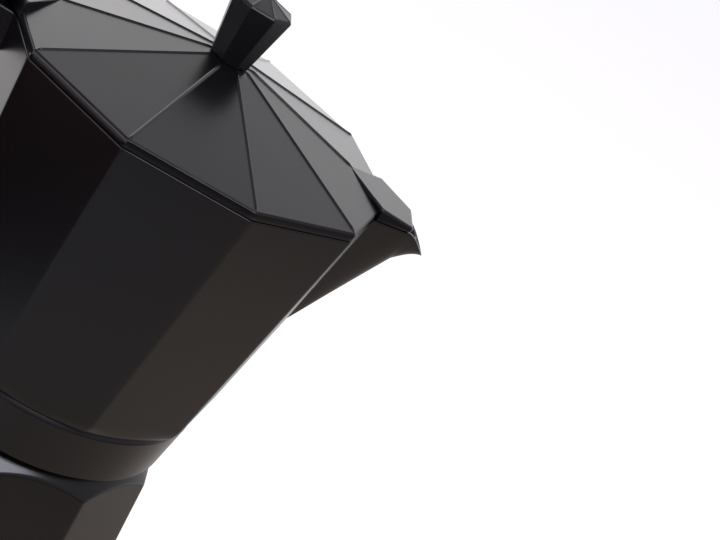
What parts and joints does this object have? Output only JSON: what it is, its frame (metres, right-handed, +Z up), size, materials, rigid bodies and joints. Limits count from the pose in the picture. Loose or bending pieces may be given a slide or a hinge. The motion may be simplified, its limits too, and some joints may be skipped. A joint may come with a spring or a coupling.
{
  "type": "stovetop moka pot",
  "caption": "Faceted stovetop coffee maker: screw-on upper jug with V spout, hinged pyramid lid, flared knob, side handle and a pressure boiler with funnel and safety valve.",
  "frame": {"origin": "centre of the boiler's flat base, on the surface it stands on", "axes": "+Z up along the pot's axis, +X towards the spout, handle and lid hinge on -X"},
  "size_m": [0.1748, 0.101, 0.2097],
  "materials": {
    "satin_black": "satin",
    "moulded_black": "matte",
    "bare_aluminium": "brushed",
    "silicone": "matte",
    "red_fibre": "matte",
    "brass": "machined",
    "steel": "polished"
  },
  "bodies": {
    "boiler": {"boiler": "satin_black", "valve_body": "brass", "valve_gasket": "red_fibre", "valve_nut": "brass", "valve_cap": "brass", "valve_spring": "steel", "funnel": "bare_aluminium", "funnel_sieve": "bare_aluminium"},
    "seal_set": {"gasket": "silicone", "filter_plate": "bare_aluminium"},
    "collector": {"collector": "satin_black", "riser_column": "bare_aluminium", "handle": "moulded_black", "handle_pin": "steel", "hinge_pin": "steel"},
    "lid": {"lid": "satin_black", "knob": "moulded_black", "knob_insert": "brass", "knob_washer": "steel", "knob_screw": "steel"},
    "valve_plunger": {"valve_plunger": "steel", "valve_seal": "red_fibre"}
  },
  "joints": [
    {"name": "collector_rise", "type": "slide", "parent": "boiler", "child": "seal_set", "axis": [0, 0, 1], "range_m": [0, 0.008]},
    {"name": "collector_turn", "type": "hinge", "parent": "seal_set", "child": "collector", "pos_m": [0, 0, 0.1], "axis": [0, 0, 1], "range_deg": [0, 720]},
    {"name": "lid_hinge", "type": "hinge", "parent": "collector", "child": "lid", "pos_m": [-0.0545, 0, 0.1801], "axis": [0, -1, 0], "range_deg": [0, 105]},
    {"name": "valve_push", "type": "slide", "parent": "boiler", "child": "valve_plunger", "axis": [0.3338, 0.9426, 0], "range_m": [0, 0.0015], "stiffness_N_per_m": 1500, "springref_m": -0.002, "deforming": ["valve_spring"]}
  ],
  "couplings": [
    {"joint": "collector_rise", "follows": "collector_turn", "m_per_rad": 0.00063662}
  ]
}
